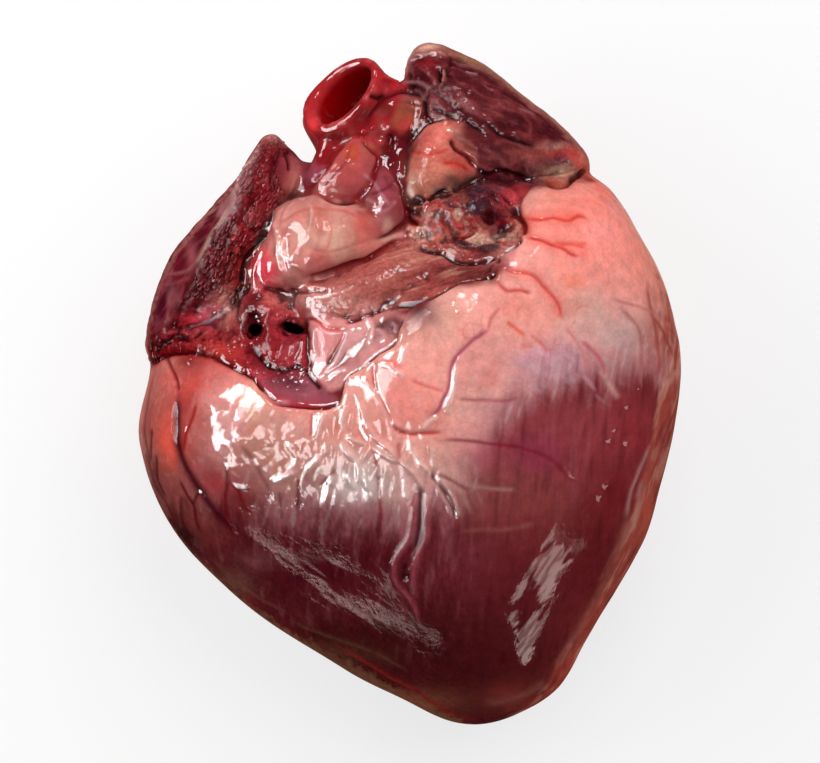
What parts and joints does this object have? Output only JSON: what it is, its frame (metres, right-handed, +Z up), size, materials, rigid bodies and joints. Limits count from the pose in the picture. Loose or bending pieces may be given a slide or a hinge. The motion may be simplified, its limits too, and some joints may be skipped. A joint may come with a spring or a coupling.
{
  "type": "raw animal heart",
  "caption": "Whole raw pork heart lying on its back: streaky dark muscle, fat round the top, two auricles, a cut aorta that is open at its mouth, and raised coronary vessels.",
  "frame": {"origin": "on the resting surface, under the middle of the heart's box as seen from above", "axes": "+Z up, out of the heart's front face; +Y along its length, from the tip towards the great vessels; +X to the right as seen from above"},
  "size_m": [0.1088, 0.1364, 0.0724],
  "materials": {
    "heart": "wet raw meat and fat, glossy"
  },
  "bodies": {
    "root": {"heart": "heart"}
  },
  "joints": []
}
